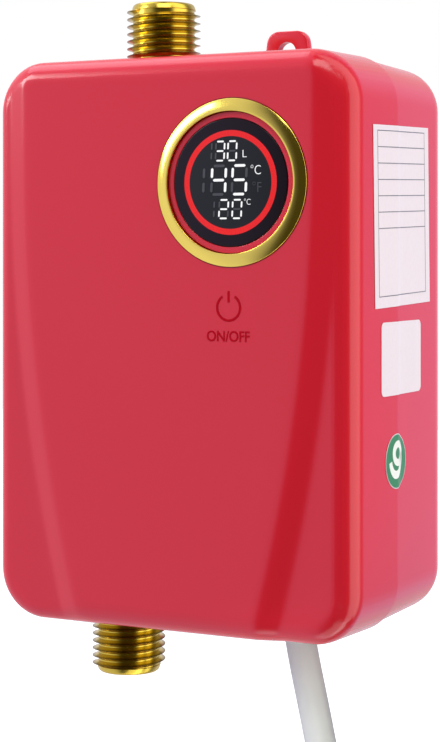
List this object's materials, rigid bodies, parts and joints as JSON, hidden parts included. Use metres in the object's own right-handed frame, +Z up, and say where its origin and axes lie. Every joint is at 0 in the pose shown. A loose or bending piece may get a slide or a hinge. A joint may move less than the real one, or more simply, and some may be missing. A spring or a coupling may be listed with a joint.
{
  "type": "instant electric water heater",
  "caption": "Compact wall-hung instant water heater: red two-shell housing, gold-ringed round display, brass threaded pipe connections at top and bottom, grey mains cord with plug.",
  "frame": {"origin": "on the wall plane behind the middle of the housing", "axes": "+Y into the wall, +X to the right seen from the front, +Z up"},
  "size_m": [0.2011, 0.0702, 0.3717],
  "materials": {
    "red_shell": "glossy",
    "gold_plate": "gold plated",
    "dark_lens": "glossy",
    "red_light": "diffuse",
    "circuit_board": "satin",
    "black_plastic": "satin",
    "white_plastic": "satin",
    "blue_plastic": "satin",
    "yellow_plastic": "satin",
    "brown_plastic": "matte",
    "red_plastic": "satin",
    "can_aluminium": "sleeved",
    "steel": "satin",
    "brass": "machined",
    "seal_rubber": "matte",
    "grey_rubber": "matte",
    "brown_wire": "satin",
    "blue_wire": "satin",
    "green_wire": "satin"
  },
  "bodies": {
    "case": {"front_shell": "red_shell", "rear_shell": "red_shell", "case_seal": "seal_rubber", "case_screws": "steel", "bezel_ring": "gold_plate", "display_trim": "red_shell", "display_lens": "dark_lens", "light_ring": "red_light", "digit_module": "dark_lens", "display_board": "circuit_board", "display_screws": "steel", "touch_electrode": "steel", "control_board": "circuit_board", "control_screws": "steel", "power_relay": "blue_plastic", "supply_module": "yellow_plastic", "smoothing_capacitor": "can_aluminium", "buzzer": "black_plastic", "terminal_block": "white_plastic", "terminal_screws": "steel", "triac": "black_plastic", "triac_screw": "steel", "heating_tank": "white_plastic", "tank_cap": "white_plastic", "tank_seal": "seal_rubber", "tank_screws": "steel", "heating_tubes": "steel", "outlet_sensor": "brass", "inlet_sensor": "brass", "thermal_cutout": "brown_plastic", "cutout_screws": "steel", "outlet_nipple": "brass", "inlet_nipple": "brass", "nipple_seals": "seal_rubber", "inlet_filter": "steel", "flow_chamber": "white_plastic", "flow_guide": "white_plastic", "rotor_pin": "steel", "hall_sensor": "black_plastic", "cord_gland": "grey_rubber", "cord_tail": "grey_rubber", "cord_clamp": "white_plastic", "clamp_screws": "steel", "live_lead": "brown_wire", "neutral_lead": "blue_wire", "earth_lead": "green_wire", "power_cord": "grey_rubber", "cord_coil": "grey_rubber", "cord_tie": "seal_rubber", "plug_body": "grey_rubber", "plug_blades": "brass", "plug_earth_pin": "brass"},
    "rotor": {"turbine_rotor": "black_plastic"},
    "button": {"reset_button": "red_plastic"}
  },
  "joints": [
    {"name": "turbine_spin", "type": "hinge", "parent": "case", "child": "rotor", "pos_m": [-0.02855, -0.039, -0.052], "axis": [0, 0, 1], "continuous": true},
    {"name": "reset_press", "type": "slide", "parent": "case", "child": "button", "axis": [-1, 0, 0], "range_m": [0, 0.0012], "stiffness_N_per_m": 2500}
  ]
}
